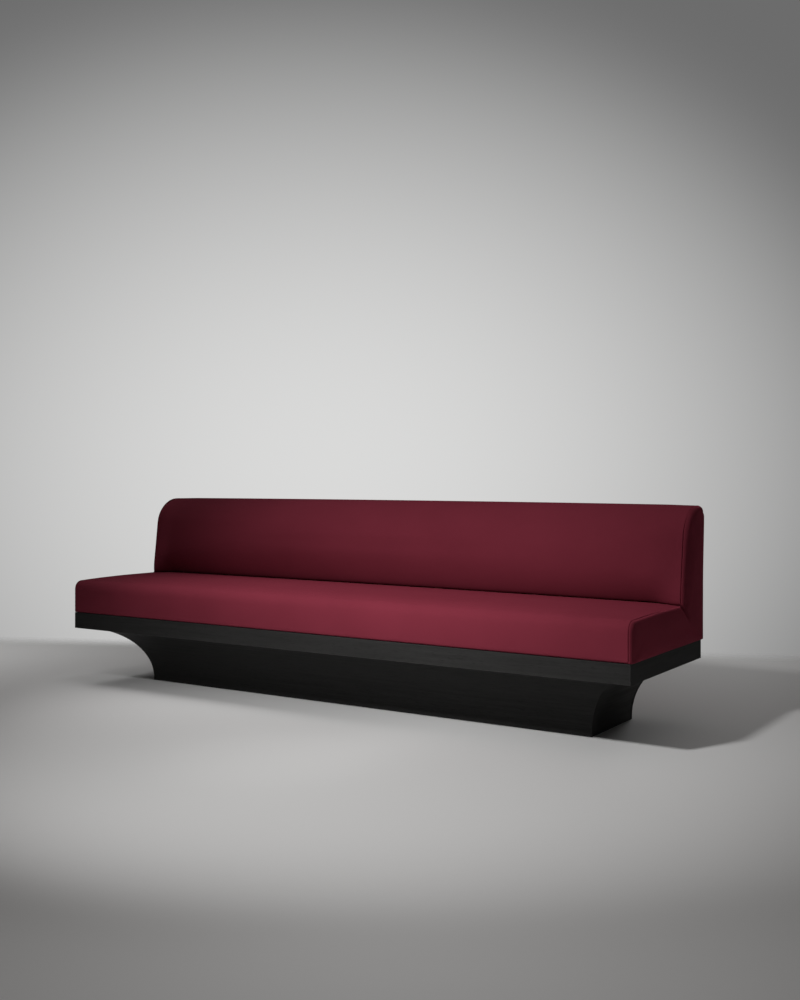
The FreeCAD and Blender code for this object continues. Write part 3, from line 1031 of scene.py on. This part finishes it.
def crease_share(co):
    """How deep the crease is pressed at a point: 1 on its line, fading to its sides and its end."""
    upper, bend, lower = crease_line
    best = 0.0
    point = Vector((co.y, co.z))
    for first, second, fade in ((upper, bend, 0.0), (bend, lower, crease_fade)):
        run = second - first
        share = min(1.0, max(0.0, (point - first).dot(run) / run.length_squared))
        away = (point - first - run * share).length
        best = max(best, (1.0 - ease(away, 0.0, crease_width)) * (1.0 - fade * share))
    return best


print("end panels: the seams of seat and back meet at", [round(back_end(0.0), 4), round(foot_end, 4)])

# %% [markdown]
# ## The face of an end panel
# The panel is stuffed like a pillow: near the front and top seam its face rolls in, and the crease is
# pressed into it. A bevel could round the rim, but a wide one can fold over itself at an inner corner. So
# the roll is worked out as a quarter circle of the distance from the seam. A KD tree finds that distance
# fast: it holds points all along the seam and gives the nearest one.

# %% Depth of the end panels
panel_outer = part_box("end_cover_right")[1].x - 0.0005
panel_roll = 0.038
rear_roll = 0.020
rear_roll_start = 0.22
rear_roll_end = 0.32
seam_height = 0.12
seam_spacing = 0.002
back_bulge = 0.005
bulge_start = 0.50
bulge_end = 0.82
crease_depth = 0.95


def seam_tree(mesh):
    """Points along the seam at the front and top of the panel, to measure distances from."""
    places = []
    for line in mesh.edges:
        first, second = [v.co.copy() for v in line.verts]
        middle = first.lerp(second, 0.5)
        if middle.y < back_rear - near and middle.z > seat_foot + near:
            count = max(1, round(line.calc_length() / seam_spacing))
            places += [first.lerp(second, i / count) for i in range(count)]
    tree = KDTree(len(places))
    for index, place in enumerate(places):
        tree.insert(place, index)
    tree.balance()
    return tree


def panel_depth(co, seam):
    """How far the face of the panel stands out at a point, before it is puffed."""
    away = seam.find((panel_inner, co.y, co.z))[2]
    roll = panel_roll + (rear_roll - panel_roll) * ease(co.y, rear_roll_start, rear_roll_end)
    flatness = 1.0 - min(1.0, away / roll)
    pillow = seam_height + (1.0 - seam_height) * math.sqrt(1.0 - flatness ** 2)
    depth = (abs(co.x) - panel_inner) * pillow
    share = depth / (panel_outer - panel_inner)
    depth += back_bulge * share * ease(co.z, bulge_start, bulge_end)
    return depth * (1.0 - crease_depth * crease_share(co))


print("end panels: thickness", round(panel_outer - panel_inner, 4), "rolled in over", panel_roll)

# %% [markdown]
# ## The end panels
# The L has no long side to draw it out along, so it is drawn out to its thickness and remeshed evenly.
# Then each point is moved to its depth, and the panel is puffed like the pads. The left panel is the right
# one mirrored, apart from the crest, so its normals are worked out again after the mirror.

# %% Build the end panels
panel_voxel = 0.0045
panel_segments = 8
panel_fill = 0.85
held_rim = 0.003
held_crease = 0.5


def panel_is_free(co):
    return abs(co.x) > panel_inner + held_rim and crease_share(co) < held_crease


def end_panel(side, sign):
    mesh = bmesh.new()
    top_end = back_top - top_draw + top_height(sign * pad_half)
    rounded_face(mesh, panel_inner, panel_outline(top_end), panel_segments)
    seam = seam_tree(mesh)
    draw_out(mesh, panel_outer - panel_inner)
    if sign < 0:
        bmesh.ops.scale(mesh, vec=(-1.0, 1.0, 1.0), verts=mesh.verts[:])
        bmesh.ops.recalc_face_normals(mesh, faces=mesh.faces[:])
    panel = place_piece("end_panel_" + side, mesh)
    even = panel.modifiers.new("even", "REMESH")
    even.mode = "VOXEL"
    even.voxel_size = panel_voxel
    shaped = panel.evaluated_get(bpy.context.evaluated_depsgraph_get())
    panel.data = bpy.data.meshes.new_from_object(shaped)
    panel.modifiers.remove(even)
    for point in panel.data.vertices:
        point.co.x = sign * (panel_inner + panel_depth(point.co, seam))
    puff(panel, panel_is_free, pressure=1.3, cap=0.007)
    finish_pad(panel, panel_fill, "end_cover_" + side, "seat_end_pad_" + side, "back_end_pad_" + side)


for side, sign in (("right", 1.0), ("left", -1.0)):
    end_panel(side, sign)

# %% [markdown]
# ## Beech and plywood
# Turn the sofa over and the frame shows: rails and sills of beech, and formers, ribs and decks of plywood.
# Both are bare timber, so one function makes both from the shared grain. The cut edges of plywood show its
# layers. They could be modelled as sheets, but a shade that changes in steps across the board is enough
# on a hidden frame.

# %% Bare timber
beech_pale = rgba(0.60, 0.40, 0.24)
beech_dark = rgba(0.42, 0.25, 0.14)
ply_pale = rgba(0.64, 0.47, 0.29)
ply_dark = rgba(0.47, 0.32, 0.18)
ply_layer = rgba(0.36, 0.22, 0.12)
ply_thickness = 0.0015


def bare_timber(name, run, pale, dark, fineness):
    made, tree, wood = new_finish(name + "_" + run)
    figure = group_node(tree, grain, Place=along_board(tree, run), Fineness=fineness)
    shade = between(tree, figure["Streak"], dark, pale)
    shade = between(tree, sums(tree, "MULTIPLY", figure["Pore"], 0.45), shade, dark)
    feed(tree, wood["Base Color"], shade)
    feed(tree, wood["Roughness"], roughened(tree, figure["Streak"], 0.52, 0.68))
    feed(tree, wood["Normal"], bumped(tree, figure["Streak"], distance=0.0003, strength=0.3))
    return made


def plywood(run, thin):
    made = bare_timber("plywood_across_" + thin, run, ply_pale, ply_dark, 45.0)
    tree = made.node_tree
    wood = tree.nodes["Principled BSDF"].inputs
    through = apart(tree, object_place(tree))[thin.upper()]
    layers = sums(tree, "SINE", sums(tree, "MULTIPLY", through, math.pi / ply_thickness))
    layer_share = remap(tree, layers, -0.3, 0.3, 0.0, 0.55)
    face_shade = wood["Base Color"].links[0].from_socket
    feed(tree, wood["Base Color"], between(tree, layer_share, face_shade, ply_layer))
    return made


beech = {run: bare_timber("beech", run, beech_pale, beech_dark, 60.0) for run in "xyz"}
print("beech:", [finish.name for finish in beech.values()])

# %% [markdown]
# ## Webbing and steel
# Straps of jute carry the foam, and zinc-plated bolts hold the frame on the deck. Threads and the faint
# spangle of zinc could be modelled. The shared groups already make both, so the straps borrow the weave of
# the cloth, at a coarser count, and the zinc takes the clouds of mottle.

# %% Jute and zinc
jute_threads = 420.0
jute_dark = rgba(0.16, 0.105, 0.055)
jute_pale = rgba(0.42, 0.31, 0.18)
zinc_dark = rgba(0.46, 0.47, 0.49)
zinc_pale = rgba(0.62, 0.62, 0.62)

jute, tree, strap = new_finish("jute_webbing")
place = object_place(tree)
strands = group_node(tree, weave, Place=place, Threads=jute_threads)
fibres = group_node(tree, mottle, Place=place, Scale=24.0)
raised = sums(tree, "MULTIPLY", strands["Height"], fibres["Fleck"])
feed(tree, strap["Base Color"], between(tree, raised, jute_dark, jute_pale))
feed(tree, strap["Roughness"], roughened(tree, fibres["Fleck"], 0.8, 0.95))
feed(tree, strap["Normal"], bumped(tree, strands["Height"], distance=0.0006, strength=0.7))

zinc, tree, bolt = new_finish("zinc_plate")
spangle = group_node(tree, mottle, Place=object_place(tree), Scale=60.0)
feed(tree, bolt["Base Color"], between(tree, spangle["Cloud"], zinc_dark, zinc_pale))
feed(tree, bolt["Roughness"], roughened(tree, spangle["Fleck"], 0.28, 0.5))
bolt["Metallic"].default_value = 1.0
print("finishes:", jute.name, zinc.name)

# %% [markdown]
# ## The hidden frame
# The solids of the frame already have the right shape, so they only get a finish. They could be listed by
# name, but the record already says what each is made of. So the finish is chosen by the slot that the
# record gives each node, and by the directions in which the board is longest and thinnest.

# %% Give the frame's nodes their finishes
plies = {}
slots = {part["node"]: part["material_slot"] for part in frame["record"]["subparts"]}
for name, node in nodes_of_frame.items():
    low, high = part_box(name)
    extent = {axis: high[i] - low[i] for i, axis in enumerate("xyz")}
    run = max(extent, key=extent.get)
    thin = min(extent, key=extent.get)
    slot = slots[name]
    if slot == "plywood":
        if run + thin not in plies:
            plies[run + thin] = plywood(run, thin)
        finish = plies[run + thin]
    elif slot == "beech":
        finish = beech[run]
    elif slot == "ebonised_wood":
        finish = ebony[run]
    elif slot == "webbing":
        finish = jute
    elif slot == "steel":
        finish = zinc
    else:
        continue
    node.data.materials.clear()
    node.data.materials.append(finish)
print("frame finishes:", len(plies), "plywoods,", len(slots), "nodes")
